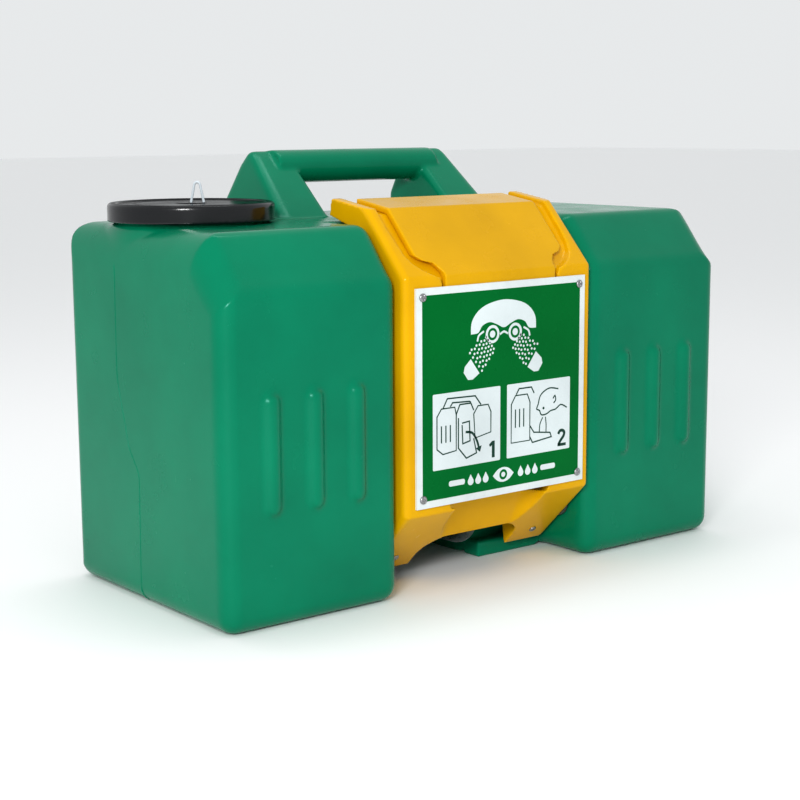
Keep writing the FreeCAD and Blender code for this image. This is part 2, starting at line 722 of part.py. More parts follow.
def outlet():
    """Bulkhead fitting through the hose bay's back wall: body, seal and nut."""
    front = "hose_bay_back - seal_thick - nut_thick"
    through = "nut_thick + seal_thick + tank_wall + nut_thick + 3"
    profile = [("water_bore", "0"), ("hose_bore", "0"), ("hose_bore", "spigot_length"),
               ("outlet_flange", "spigot_length"), ("outlet_flange", "spigot_length + nut_thick"),
               ("outlet_radius", "spigot_length + nut_thick"), ("outlet_radius", "spigot_length + " + through),
               ("water_bore", "spigot_length + " + through)]
    body = turned("outlet_body", profile)
    node("outlet_fitting", place(body, "0", front + " - spigot_length", "outlet_height", "y"))
    ring = [("outlet_radius", "0"), ("outlet_flange - 1", "0"), ("outlet_flange - 1", "seal_thick"),
            ("outlet_radius", "seal_thick")]
    node("outlet_seal", place(turned("outlet_ring", ring), "0", "hose_bay_back - seal_thick",
                              "outlet_height", "y"))
    blank = doc.addObject("Part::Prism", "outlet_hexagon")
    blank.Polygon = 6
    bind(blank, "Circumradius", "outlet_flange")
    bind(blank, "Height", "nut_thick")
    place(blank, "0", "hose_bay_back + tank_wall", "outlet_height", "y")
    bore = rod("outlet_nut_bore", "outlet_radius", "3 * nut_thick", "0", "hose_bay_back",
               "outlet_height", "y")
    node("outlet_nut", cut("outlet_nut_cut", blank, bore))


def clamp(name, x, y, z, along):
    ring = [("hose_radius", "0"), ("hose_radius + clamp_thick", "0"),
            ("hose_radius + clamp_thick", "clamp_width"), ("hose_radius", "clamp_width")]
    node(name, place(turned(name + "_ring", ring), x, y, z, along))


def hose():
    """Soft hose from the outlet, round below the pivot and up the arm."""
    route = [FreeCAD.Vector(0, back, height) for back, height in HOSE_ROUTE]
    radii = []
    for before, corner, after in zip(route, route[1:], route[2:]):
        turn = math.pi - (before - corner).getAngle(after - corner)
        shorter = min((before - corner).Length, (after - corner).Length)
        radii.append(0.45 * shorter / math.tan(turn / 2))
    print("hose arc radii", [round(radius, 1) for radius in radii])
    wire = straight_and_round(route, radii)
    skin = swept(wire, value("hose_radius"))
    bore = swept(wire, value("hose_bore"))
    piece = doc.addObject("Part::Feature", "hose_sweep")
    piece.Shape = skin.cut(bore)
    section = math.pi * (value("hose_radius") ** 2 - value("hose_bore") ** 2)
    print("hose length", round(wire.Length, 1), "volume ratio",
          round(piece.Shape.Volume / (section * wire.Length), 4))
    node("hose", piece)
    clamp("hose_clamp_tank", "0", "%r - 4 - clamp_width" % HOSE_ROUTE[0][0], "outlet_height", "y")
    clamp("hose_clamp_arm", "0", "manifold_back", "%r - 4 - clamp_width" % HOSE_ROUTE[-1][1], "z")


def manifold():
    """Tee under the hood that splits the water between the two heads."""
    def pipes(name, radius, main, stub_start, arm_end):
        parts = [
            rod(name + "_bar", main, "2 * head_spread + 2 * (%s)" % radius,
                "-head_spread - (%s)" % radius, "manifold_back", "manifold_height", "x"),
            rod(name + "_inlet", radius + " - 2.5", "manifold_height - (%s)" % stub_start, "0",
                "manifold_back", stub_start),
        ]
        for side, mark in (("left", "-"), ("right", "")):
            parts.append(rod(name + "_" + side, radius, "%s - manifold_back" % arm_end,
                             mark + "head_spread", "manifold_back", "manifold_height", "y"))
        return fuse(name, parts)
    stub = "manifold_height - stub_length"
    shell = pipes("tee_shell", "manifold_radius", "manifold_radius", stub, "(head_start + 2)")
    bore = pipes("tee_bore", "(manifold_radius - 2)", "(manifold_radius - 2)", stub + " - 1",
                 "(head_start + 3)")
    ends = [box("tee_end_" + side, low, high) for side, low, high in (
        ("left", ("-head_spread - 30", "0", "manifold_height - 20"),
         ("-head_spread - manifold_radius + 2", "40", "manifold_height + 20")),
        ("right", ("head_spread + manifold_radius - 2", "0", "manifold_height - 20"),
         ("head_spread + 30", "40", "manifold_height + 20")))]
    node("manifold", cut("tee", shell, cut("tee_bore_closed", bore, fuse("tee_ends", ends))))


def spray_head(side, mark):
    """Cup-shaped head on a manifold branch, its perforated rose and the stopper that shuts it."""
    neck = "manifold_radius + head_wall"
    length = "head_mouth - head_start + head_lap"
    cup = turned("head_cup_" + side, [
        ("manifold_radius", "0"), (neck, "0"), (neck, "collar_length"),
        ("head_radius", length + " - rim_height"), ("head_radius", length),
        ("head_radius - head_wall", length), ("head_radius - head_wall", length + " - rim_height"),
        ("manifold_radius", "collar_length + 1"),
    ])
    x = mark + "head_spread"
    node("spray_head_" + side, place(cup, x, "head_start - head_lap", "manifold_height", "y"))
    plate = rod("rose_plate_" + side, "head_radius - head_wall", "rose_thick", x,
                "head_mouth - rose_thick - 1", "manifold_height", "y")
    jets = []
    for ring, count in ((0, 1), (7, 6), (14, 12)):
        for number in range(count):
            turn = 360.0 / count * number
            jets.append(rod("jet_%s_%d_%d" % (side, ring, number), "jet_radius", "3 * rose_thick",
                            "%s + %d * cos(%g)" % (x, ring, turn), "head_mouth - 3 * rose_thick",
                            "manifold_height + %d * sin(%g)" % (ring, turn), "y"))
    node("spray_rose_" + side, cut("rose_" + side, plate, fuse("jets_" + side, jets)))
    front = "head_mouth + stopper_gap"
    wide = "stopper_thick"
    stop = turned("stopper_body_" + side, [
        ("0", "0"), ("stopper_radius", "0"), ("stopper_radius", wide), ("stem_radius", wide),
        ("stem_radius", "middle_front - (%s)" % front), ("0", "middle_front - (%s)" % front)])
    node("stopper_" + side, place(stop, x, front, "manifold_height", "y"))


def bracket():
    """Strip across the arm that carries the manifold in two straps."""
    back = "manifold_back - manifold_radius - strap_thick"
    front = back + " - bracket_thick"
    low = "manifold_height - bracket_half_height"
    high = "manifold_height + bracket_half_height"
    strip = box("bracket_strip", ("-leg_inner", front, low), ("leg_inner", back, high))
    tab = box("bracket_tab", ("leg_inner - bracket_thick", front, low), ("leg_inner", "manifold_back + 12", high))
    node("manifold_bracket", fuse("bracket_bent", [strip, tab, mirrored("bracket_tab_left", tab)]))
    straps = []
    for side, mark in (("left", "-"), ("right", "")):
        ring = [("manifold_radius", "0"), ("manifold_radius + strap_thick", "0"),
                ("manifold_radius + strap_thick", "clamp_width"), ("manifold_radius", "clamp_width")]
        start = "%sstrap_spread - clamp_width / 2" % mark
        straps.append(place(turned("strap_" + side, ring), start, "manifold_back", "manifold_height", "x"))
    node("manifold_straps", group("strap_pair", straps))


tank()
cap()
loop()
arm_frame()
ear_screws()
hinge_blocks()
for wing in ("left", "right"):
    pivot(wing)
sign()
outlet()
hose()
manifold()
spray_head("left", "-")
spray_head("right", "")
bracket()
doc.recompute()

faults = [thing.Name for thing in doc.Objects if {"Invalid", "Error"} & set(thing.State)]
faults += [thing.Label for thing in NODES if thing.Shape.isNull() or not thing.Shape.isValid()]
if faults:
    raise RuntimeError("failed objects: " + ", ".join(faults))

os.makedirs("parts", exist_ok=True)
for piece in NODES:
    box_now = piece.Shape.BoundBox
    print("%-20s solids %d volume %9.1f  x %7.1f %7.1f  y %7.1f %7.1f  z %6.1f %6.1f" % (
        piece.Label, len(piece.Shape.Solids), piece.Shape.Volume, box_now.XMin, box_now.XMax,
        box_now.YMin, box_now.YMax, box_now.ZMin, box_now.ZMax))
    piece.Shape.exportStep("parts/%s.step" % piece.Label)
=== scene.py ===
import json
import math

import bmesh
import bpy
import numpy as np
from mathutils import Matrix, Vector
from mathutils.geometry import tessellate_polygon


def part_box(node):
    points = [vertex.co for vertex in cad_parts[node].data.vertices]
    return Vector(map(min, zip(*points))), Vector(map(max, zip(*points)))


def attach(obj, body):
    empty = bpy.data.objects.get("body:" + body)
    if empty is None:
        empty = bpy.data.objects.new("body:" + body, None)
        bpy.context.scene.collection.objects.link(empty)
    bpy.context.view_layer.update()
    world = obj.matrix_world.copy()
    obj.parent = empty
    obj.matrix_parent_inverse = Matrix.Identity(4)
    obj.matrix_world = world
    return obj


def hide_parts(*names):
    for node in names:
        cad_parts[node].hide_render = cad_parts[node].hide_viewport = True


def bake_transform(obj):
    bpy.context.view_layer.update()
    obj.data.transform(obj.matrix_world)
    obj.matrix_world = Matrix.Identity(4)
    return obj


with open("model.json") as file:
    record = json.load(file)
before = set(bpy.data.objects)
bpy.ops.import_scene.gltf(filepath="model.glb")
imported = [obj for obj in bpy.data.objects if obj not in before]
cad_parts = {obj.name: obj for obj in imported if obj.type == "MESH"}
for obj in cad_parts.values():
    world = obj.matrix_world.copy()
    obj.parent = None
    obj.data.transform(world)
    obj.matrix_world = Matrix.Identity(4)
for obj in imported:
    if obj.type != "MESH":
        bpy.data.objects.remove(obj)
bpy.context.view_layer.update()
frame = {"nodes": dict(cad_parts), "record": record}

# Metres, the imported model's frame: +X right, +Y to the back, +Z up, the floor at z = 0.

MM = 0.001
scene = bpy.context.scene
scene.view_settings.view_transform = "Standard"
scene.view_settings.look = "Medium High Contrast"

# Tank, from the CAD's own sizes.
LOBE_FRONT = -149 * MM
LOBE_TOP = 377.5 * MM
LOBE_INNER = 133 * MM
LOBE_LIFT = 9.5 * MM
BEVEL_BOTTOM = 332.5 * MM
BEVEL_DEPTH = 46.5 * MM
WALL = 4 * MM
NECK_RADIUS = 78 * MM
NECK_BLEND = 16 * MM
FLANK_BACK = -60 * MM

# Handle: half its width with room round it, the middle and outside of a leg, and the leg's flare.
HANDLE_HALF = 150 * MM
HANDLE_LEG = 113 * MM
HANDLE_SIDE = 138 * MM
HANDLE_FLARE = 0.55
HANDLE_FADE = 42 * MM

# Radii that the tank's outer edges are rolled to.
SHOULDER_ROLL = 34 * MM
BEVEL_END_ROLL = 30 * MM
REAR_ROLL = 20 * MM
UPRIGHT_ROLL = 18 * MM
FOOT_END_ROLL = 17 * MM
FOOT_ROLL = 16 * MM
BEVEL_ROLL = 16 * MM
INNER_ROLL = 14 * MM
TOP_REAR_ROLL = 9 * MM

# What the arm and the vent's wire gain over the CAD's.
ARM_GAIN = 2.4 * MM
WIRE_GAIN = 0.35 * MM

# Cap: its sunk top, the boss round the vent and the groove between them.
CAP_SINK = 1.3 * MM
BOSS_RISE = 0.7 * MM
GROOVE_DEPTH = 0.6 * MM
GROOVE_RADIUS = 60 * MM
GROOVE_SPREAD = 1.3 * MM

# Height and back of the moulding's parting line, from the shoulder down to the foot.
PARTING = [(343.5, 52), (232, 54), (160, 33), (147, 22), (136, 14), (22, 17)]
BEAD = 0.7 * MM
INSET = 0.45 * MM

# Back and height along the hose, from the tank's outlet to the manifold.
HOSE_LINE = [(25, 36), (-97, 36), (-115, 130), (-126, 200), (-126, 262)]
HOSE_RADIUS = 9.5 * MM
HOSE_BEND = 24 * MM

# Lower slope of the arm, where the ear screws sit.
EAR_SCREW = (100 * MM, -96 * MM, 29.8 * MM)
EAR_AXIS = (0.0, -0.702, -0.712)
HEAD_RADIUS = 4.5 * MM
HEAD_HEIGHT = 2.0 * MM
SHANK = 2.0 * MM
SIGN_SCREW_LENGTH = 12.5 * MM
EAR_SCREW_LENGTH = 10.5 * MM

# Cross recess: half its arm's width and its reach over the head's radius, its depth over the height.
RECESS_HALF = 0.17
RECESS_REACH = 0.62
RECESS_DEPTH = 0.55

# Sign: its border in millimetres, one printed layer, and how far print is let into the plate.
SIGN_BORDER = 7.5
INK_LAYER = 0.09 * MM
INK_SEAT = 0.05 * MM


# ---------------------------------------------------------------- camera, light, stage

def camera():
    """The photograph's viewpoint: 38 degrees round to the left and 10 degrees up."""
    data = bpy.data.cameras.new("camera")
    data.lens = 74.31
    data.sensor_width = 36.0
    data.clip_end = 100.0
    eye = bpy.data.objects.new("camera", data)
    eye.location = (-1.1580, -1.4460, 0.4911)
    turn = (Matrix.Rotation(-0.6684, 4, "Z") @ Matrix.Rotation(math.pi / 2 - 0.1676, 4, "X")
            @ Matrix.Rotation(-0.0057, 4, "Z"))
    eye.rotation_euler = turn.to_euler()
    scene.collection.objects.link(eye)
    scene.camera = eye


def softbox(name, place, target, size, power):
    data = bpy.data.lights.new(name, "AREA")
    data.shape = "RECTANGLE"
    data.size, data.size_y = size
    data.energy = power
    lamp = bpy.data.objects.new(name, data)
    lamp.location = place
    lamp.rotation_euler = (Vector(target) - Vector(place)).to_track_quat("-Z", "Y").to_euler()
    scene.collection.objects.link(lamp)


def studio():
    softbox("key", (-1.65, -1.5, 1.05), (0, 0, 0.2), (0.55, 0.55), 27)
    softbox("top", (0.1, 0.3, 2.4), (0, 0, 0.3), (1.6, 0.5), 8)
    world = bpy.data.worlds.new("studio")
    world.use_nodes = True
    back = world.node_tree.nodes["Background"]
    back.inputs["Color"].default_value = (0.97, 0.99, 1.0, 1.0)
    back.inputs["Strength"].default_value = 0.70
    scene.world = world


def floor():
    data = bpy.data.meshes.new("floor")
    far = 20.0
    data.from_pydata([(-far, -far, 0), (far, -far, 0), (far, far, 0), (-far, far, 0)], [], [(0, 1, 2, 3)])
    ground = bpy.data.objects.new("floor", data)
    scene.collection.objects.link(ground)
    paint = bpy.data.materials.new("floor")
    paint.use_nodes = True
    shader = paint.node_tree.nodes["Principled BSDF"]
    shader.inputs["Base Color"].default_value = (0.93, 0.93, 0.93, 1.0)
    shader.inputs["Roughness"].default_value = 0.7
    data.materials.append(paint)


# ---------------------------------------------------------------- materials

class Nodes:
    """Short names for building one material's nodes."""

    def __init__(self, name):
        self.material = bpy.data.materials.new(name)
        self.material.use_nodes = True
        self.tree = self.material.node_tree
        self.shader = self.tree.nodes["Principled BSDF"]
        self.place = self.tree.nodes.new("ShaderNodeTexCoord").outputs["Object"]

    def put(self, kind, **values):
        node = self.tree.nodes.new(kind)
        for key, value in values.items():
            if hasattr(node, key):
                setattr(node, key, value)
            else:
                node.inputs[key.replace("_", " ").title()].default_value = value
        return node

    def join(self, source, target):
        self.tree.links.new(source, target)

    def noise(self, scale, detail=3.0, roughness=0.55, stretch=None):
        node = self.put("ShaderNodeTexNoise", Scale=scale, Detail=detail, Roughness=roughness)
        spot = self.place
        if stretch:
            mapping = self.put("ShaderNodeMapping")
            mapping.inputs["Scale"].default_value = stretch
            self.join(spot, mapping.inputs["Vector"])
            spot = mapping.outputs["Vector"]
        self.join(spot, node.inputs["Vector"])
        return node.outputs["Fac"]

    def spread(self, source, low, high, bottom=0.0, top=1.0):
        node = self.put("ShaderNodeMapRange")
        for name, value in zip(("From Min", "From Max", "To Min", "To Max"), (low, high, bottom, top)):
            node.inputs[name].default_value = value
        self.join(source, node.inputs["Value"])
        return node.outputs["Result"]

    def sums(self, kind, first, second):
        node = self.put("ShaderNodeMath", operation=kind)
        for socket, source in zip(node.inputs, (first, second)):
            if isinstance(source, (int, float)):
                socket.default_value = source
            else:
                self.join(source, socket)
        return node.outputs[0]

    def blend(self, factor, first, second):
        node = self.put("ShaderNodeMix", data_type="RGBA")
        colours = [socket for socket in node.inputs if socket.type == "RGBA"]
        self.join(factor, node.inputs[0])
        for socket, source in zip(colours, (first, second)):
            if isinstance(source, tuple):
                socket.default_value = source
            else:
                self.join(source, socket)
        return [socket for socket in node.outputs if socket.type == "RGBA"][0]

    def edges(self, low=0.52, high=0.62):
        """One on convex edges, where handling rubs the surface."""
        return self.spread(self.put("ShaderNodeNewGeometry").outputs["Pointiness"], low, high)

    def bump(self, layers):
        """Relief from (height socket, strength, depth in metres) layers, one on another."""
        last = None
        for height, strength, depth in layers:
            node = self.put("ShaderNodeBump")
            node.inputs["Strength"].default_value = strength
            node.inputs["Distance"].default_value = depth
            self.join(height, node.inputs["Height"])
            if last:
                self.join(last, node.inputs["Normal"])
            last = node.outputs["Normal"]
        self.join(last, self.shader.inputs["Normal"])


def shade(colour, factor):
    return tuple(min(1.0, channel * factor) for channel in colour[:3]) + (1.0,)


def moulded(name, colour, roughness, grain=900.0, grain_depth=0.00006, wave=0.0006, wear=0.35,
            tint=(1.0, 1.0, 1.0, 1.0), coat=0.0, ior=1.4, top_ior=None):
    """Moulded plastic: cloudy colour, fine grain, slow waves, scuffs and rubbed edges.

    With a top_ior, faces that look up reflect less than the rest.
    """
    n = Nodes(name)
    cloud = n.spread(n.noise(7.0, 4.0), 0.3, 0.7)
    base = n.blend(cloud, shade(colour, 0.88), shade(colour, 1.10))
    speck = n.spread(n.noise(1500.0, 2.0), 0.62, 0.75, 0.0, 0.35)
    base = n.blend(speck, base, shade(colour, 0.72))
    scuff = n.spread(n.noise(60.0, 6.0, 0.7, (1.0, 1.0, 0.15)), 0.66, 0.80)
    base = n.blend(n.sums("MULTIPLY", scuff, 0.22), base, shade(colour, 1.35))
    rubbed = n.sums("MULTIPLY", n.edges(), n.spread(n.noise(90.0, 4.0), 0.35, 0.65))
    base = n.blend(n.sums("MULTIPLY", rubbed, wear), base, shade(colour, 1.7))
    n.join(base, n.shader.inputs["Base Color"])
    rough = n.spread(n.noise(25.0, 4.0), 0.3, 0.7, roughness - 0.05, roughness + 0.07)
    rough = n.sums("ADD", rough, n.sums("MULTIPLY", scuff, 0.12))
    n.join(rough, n.shader.inputs["Roughness"])
    n.shader.inputs["Specular Tint"].default_value = tint
    n.shader.inputs["Coat Weight"].default_value = coat
    n.shader.inputs["Coat Roughness"].default_value = 0.12
    n.shader.inputs["IOR"].default_value = ior
    if top_ior:
        level = n.put("ShaderNodeSeparateXYZ")
        n.join(n.tree.nodes.new("ShaderNodeNewGeometry").outputs["Normal"], level.inputs[0])
        n.join(n.spread(level.outputs["Z"], 0.75, 0.98, ior, top_ior), n.shader.inputs["IOR"])
    n.bump([(n.noise(9.0, 1.5), 0.5, wave), (n.noise(grain, 2.0), 0.35, grain_depth)])
    return n.material


def metal(name, colour, roughness, brush=(1.0, 1.0, 60.0), scale=40.0):
    """Metal with a brushed or turned grain, smudges and bright edges."""
    n = Nodes(name)
    lines = n.noise(scale, 5.0, 0.6, brush)
    smudge = n.spread(n.noise(30.0, 3.0), 0.35, 0.7)
    base = n.blend(smudge, shade(colour, 1.05), shade(colour, 0.78))
    base = n.blend(n.sums("MULTIPLY", n.edges(), 0.5), base, shade(colour, 1.5))
    n.join(base, n.shader.inputs["Base Color"])
    rough = n.sums("ADD", n.spread(lines, 0.3, 0.7, roughness - 0.06, roughness + 0.08),
                   n.sums("MULTIPLY", smudge, 0.08))
    n.join(rough, n.shader.inputs["Roughness"])
    n.shader.inputs["Metallic"].default_value = 1.0
    n.bump([(lines, 0.25, 0.00005)])
    return n.material


def clear(name, colour, roughness):
    """Clear flexible plastic with a faint haze."""
    n = Nodes(name)
    haze = n.spread(n.noise(120.0, 4.0), 0.3, 0.7)
    n.join(n.blend(haze, shade(colour, 0.9), shade(colour, 1.05)), n.shader.inputs["Base Color"])
    n.join(n.spread(haze, 0, 1, roughness, roughness + 0.12), n.shader.inputs["Roughness"])
    n.shader.inputs["Transmission Weight"].default_value = 0.75
    n.shader.inputs["IOR"].default_value = 1.45
    n.bump([(n.noise(300.0, 2.0), 0.15, 0.00005)])
    return n.material


def build_materials():
    green = (0.0, 0.180, 0.092)
    yellow = (0.66, 0.355, 0.0)
    flat = {"grain_depth": 0.00001, "wave": 0.00005, "wear": 0.0, "ior": 1.25}
    return {
        "tank_green": moulded("tank_green", green, 0.22, tint=(0.5, 1.0, 0.97, 1.0), ior=1.35),
        "cap_black": moulded("cap_black", (0.006, 0.0065, 0.008), 0.16, wave=0.0002, wear=0.1,
                             grain_depth=0.00002, ior=1.5, top_ior=1.03),
        "rubber_grey": moulded("rubber_grey", (0.05, 0.05, 0.052), 0.62, grain=600.0, wave=0.0001),
        "clear_loop": moulded("clear_loop", (0.60, 0.66, 0.70), 0.22, wave=0.00005, grain_depth=0.00001),
        "arm_yellow": moulded("arm_yellow", yellow, 0.21, tint=(1.0, 0.9, 0.6, 1.0), wave=0.0003, ior=1.33),
        "hood_yellow": moulded("hood_yellow", (0.63, 0.345, 0.0), 0.23, tint=(1.0, 0.9, 0.6, 1.0),
                               wave=0.0003, ior=1.36),
        "zinc_steel": metal("zinc_steel", (0.36, 0.36, 0.37), 0.26),
        "block_nylon": moulded("block_nylon", (0.030, 0.036, 0.034), 0.45, wave=0.0001),
        "stainless": metal("stainless", (0.60, 0.60, 0.61), 0.24),
        "washer_acetal": moulded("washer_acetal", (0.085, 0.088, 0.085), 0.40, wave=0.0001),
        "brass": metal("brass", (0.62, 0.42, 0.14), 0.28, (1.0, 60.0, 1.0)),
        "sign_board": moulded("sign_board", (0.62, 0.67, 0.67), 0.30, grain_depth=0.00001, wave=0.0001,
                              wear=0.1),
        "fitting_nylon": moulded("fitting_nylon", (0.030, 0.031, 0.034), 0.42, grain=700.0),
        "hose_clear": clear("hose_clear", (0.10, 0.16, 0.15), 0.22),
        "head_green": moulded("head_green", (0.0, 0.15, 0.07), 0.24, wave=0.0001, coat=0.3),
        "rose_white": moulded("rose_white", (0.78, 0.79, 0.79), 0.28, wave=0.0001),
        "ink_green": moulded("ink_green", (0.0, 0.128, 0.024), 0.27, tint=(0.1, 1.0, 0.5, 1.0), **flat),
        "ink_white": moulded("ink_white", (0.62, 0.68, 0.69), 0.27, **flat),
        "ink_black": moulded("ink_black", (0.012, 0.05, 0.035), 0.35, **flat),
    }


def dress_nodes(materials):
    """Give every CAD node that stays the finished material of its slot."""
    slots = {part["node"]: part["material_slot"] for part in frame["record"]["subparts"]}
    for name, thing in frame["nodes"].items():
        thing.data.materials.clear()
        thing.data.materials.append(materials[slots[name]])


# ---------------------------------------------------------------- mesh helpers

def solid(name, mesh, material, body, replaces=(), smooth=True):
    thing = bpy.data.objects.new(name, mesh)
    scene.collection.objects.link(thing)
    mesh.materials.clear()
    mesh.materials.append(material)
    for face in mesh.polygons:
        face.use_smooth = smooth
    if body:
        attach(thing, body)
    if replaces:
        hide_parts(*replaces)
    return thing


def evaluated(thing):
    graph = bpy.context.evaluated_depsgraph_get()
    return bpy.data.meshes.new_from_object(thing.evaluated_get(graph))


def reshaped(mesh, shape):
    """Move a mesh's vertices by a function of their places and normals."""
    count = len(mesh.vertices)
    places = np.empty(count * 3)
    normals = np.empty(count * 3)
    mesh.vertices.foreach_get("co", places)
    mesh.vertices.foreach_get("normal", normals)
    places = places.reshape(-1, 3)
    shape(places, normals.reshape(-1, 3))
    mesh.vertices.foreach_set("co", places.ravel())
    mesh.update()


def softened(node, name, voxel, rounds, faces, shape=None):
    """A copy of a CAD node with every sharp edge melted round, as a moulding's are."""
    work = bpy.data.objects.new("work", frame["nodes"][node].data.copy())
    scene.collection.objects.link(work)
    remesh = work.modifiers.new("remesh", "REMESH")
    remesh.mode = "VOXEL"
    remesh.voxel_size = voxel
    smooth = work.modifiers.new("smooth", "SMOOTH")
    smooth.factor = 0.5
    smooth.iterations = rounds
    full = evaluated(work)
    if shape:
        reshaped(full, shape)
    full.calc_loop_triangles()
    work.modifiers.clear()
    work.data = full
    thin = work.modifiers.new("thin", "DECIMATE")
    thin.ratio = min(1.0, faces / len(full.loop_triangles))
    mesh = evaluated(work)
    bpy.data.objects.remove(work)
    mesh.name = name
    return mesh


def swept(path, radius, around=24):
    """A round bar along a path, closed with a flat face at each end."""
    path = [Vector(spot) for spot in path]
    shape = bmesh.new()
    side = None
    rings = []
    for k, spot in enumerate(path):
        ahead = (path[min(k + 1, len(path) - 1)] - path[max(k - 1, 0)]).normalized()
        if side is None:
            side = ahead.orthogonal().normalized()
        side = (side - ahead * side.dot(ahead)).normalized()
        other = ahead.cross(side)
        rings.append([shape.verts.new(spot + (side * math.cos(turn) + other * math.sin(turn)) * radius)
                      for turn in (2 * math.pi * i / around for i in range(around))])
    for before, after in zip(rings, rings[1:]):
        for i in range(around):
            shape.faces.new((before[i], before[(i + 1) % around], after[(i + 1) % around], after[i]))
    shape.faces.new(rings[0][::-1])
    shape.faces.new(rings[-1])
    bmesh.ops.recalc_face_normals(shape, faces=shape.faces)
    mesh = bpy.data.meshes.new("swept")
    shape.to_mesh(mesh)
    shape.free()
    return mesh


def bent(corners, bend, step):
    """Points along a line of corners, each corner turned on a bend."""
    corners = [Vector(corner) for corner in corners]
    points = [corners[0]]
    for before, corner, after in zip(corners, corners[1:], corners[2:]):
        inward, outward = (before - corner).normalized(), (after - corner).normalized()
        reach = min(bend, (before - corner).length * 0.45, (after - corner).length * 0.45)
        start, end = corner + inward * reach, corner + outward * reach
        for k in range(9):
            t = k / 8
            points.append(start * (1 - t) ** 2 + corner * 2 * t * (1 - t) + end * t ** 2)
    points.append(corners[-1])
    fine = [points[0]]
    for a, b in zip(points, points[1:]):
        count = max(1, round((b - a).length / step))
        fine += [a.lerp(b, k / count) for k in range(1, count + 1)]
    return fine


# ---------------------------------------------------------------- tank

def rolled(points, normals, first, second, radius, where):
    """Roll the edge between two planes, each an outward normal and a distance, to a radius.

    The outside goes to the radius, and the inside of the wall stays a wall's thickness below it.
    """
    one, two = np.array(first[0]), np.array(second[0])
    lean = float(one @ two)
    over_one = points @ one - first[1] + radius
    over_two = points @ two - second[1] + radius
    a = (over_one - lean * over_two) / (1 - lean * lean)
    b = (over_two - lean * over_one) / (1 - lean * lean)
    out = a[:, None] * one + b[:, None] * two
    reach = np.sqrt(np.maximum(a * over_one + b * over_two, 1e-12))
    limit = np.where((normals * out).sum(axis=1) > 0, radius, radius - WALL)
    weight = np.asarray(where, dtype=float)
    move = (weight > 0) & (a > 0) & (b > 0) & (reach > limit)
    points[move] -= (out * (weight * (reach - limit) / reach)[:, None])[move]


def ease(value, low, high):
    t = np.clip((value - low) / (high - low), 0.0, 1.0)
    return t * t * (3 - 2 * t)


def tank_shape(points, normals):
    """Roll the tank's outer edges, flare its handle, lift its lobes and draw its sides in a little."""
    low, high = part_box("tank")
    cap_low, cap_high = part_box("fill_cap")
    centre_x, centre_y = (cap_low[0] + cap_high[0]) / 2, (cap_low[1] + cap_high[1]) / 2
    side_at, back_at = high[0], high[1]
    slope = math.hypot(BEVEL_DEPTH, LOBE_TOP - BEVEL_BOTTOM)
    lean = np.array((0.0, -(LOBE_TOP - BEVEL_BOTTOM) / slope, BEVEL_DEPTH / slope))
    bevel = (lean, float(lean @ np.array((0.0, LOBE_FRONT, BEVEL_BOTTOM))))
    front = ((0.0, -1.0, 0.0), -LOBE_FRONT)
    back = ((0.0, 1.0, 0.0), back_at)
    top = ((0.0, 0.0, 1.0), LOBE_TOP)
    floor_plane = ((0.0, 0.0, -1.0), 0.0)
    x, y = points[:, 0], points[:, 1]
    from_neck = np.hypot(x - centre_x, y - centre_y)
    clear_of_neck = ease(from_neck, NECK_RADIUS, NECK_RADIUS + NECK_BLEND)
    on_lobe = np.abs(x) > HANDLE_HALF
    flank = (np.abs(x) > LOBE_INNER - 1 * MM) & (y < FLANK_BACK)
    everywhere = np.ones(len(points), dtype=bool)
    for sign in (-1.0, 1.0):
        here = x * sign > 0
        side = ((sign, 0.0, 0.0), side_at)
        inner = ((-sign, 0.0, 0.0), -LOBE_INNER)
        rolled(points, normals, side, top, SHOULDER_ROLL, here * clear_of_neck)
        rolled(points, normals, side, bevel, BEVEL_END_ROLL, here)
        rolled(points, normals, side, floor_plane, FOOT_END_ROLL, here)
        rolled(points, normals, side, front, UPRIGHT_ROLL, here)
        rolled(points, normals, side, back, REAR_ROLL, here)
        rolled(points, normals, inner, front, INNER_ROLL, here & flank)
        rolled(points, normals, inner, bevel, INNER_ROLL, here & flank)
        rolled(points, normals, inner, floor_plane, INNER_ROLL, here & flank)
    rolled(points, normals, front, floor_plane, FOOT_ROLL, everywhere)
    rolled(points, normals, back, floor_plane, FOOT_ROLL, everywhere)
    rolled(points, normals, bevel, front, BEVEL_ROLL, on_lobe)
    rolled(points, normals, top, bevel, BEVEL_ROLL, on_lobe * clear_of_neck)
    rolled(points, normals, top, back, TOP_REAR_ROLL, on_lobe * clear_of_neck)
    reach, up = np.abs(points[:, 0]), points[:, 2]
    flare = HANDLE_FLARE * (HANDLE_SIDE - HANDLE_LEG)
    out = flare * np.interp(reach, (HANDLE_LEG, HANDLE_SIDE, HANDLE_SIDE + HANDLE_FADE), (0, 1, 0))
    out *= np.where(up > LOBE_TOP, np.clip((high[2] - up) / (high[2] - LOBE_TOP), 0, 1),
                    ease(up, LOBE_TOP - 30 * MM, LOBE_TOP - 6 * MM))
    out *= ease(points[:, 1], -8 * MM, 12 * MM) * clear_of_neck
    points[:, 0] += np.sign(points[:, 0]) * out
    up = points[:, 2]
    peak = np.where(from_neck < NECK_RADIUS + 2 * MM, cap_low[2] + 10 * MM, high[2])
    above = np.clip((peak - up) / (peak - LOBE_TOP), 0, 1)
    points[:, 2] += LOBE_LIFT * np.where(up > LOBE_TOP, above, ease(up, BEVEL_BOTTOM - 2 * MM, LOBE_TOP))
    points[:, 0] -= np.sign(points[:, 0]) * INSET * ease(np.abs(points[:, 0]), 320 * MM, 340 * MM)


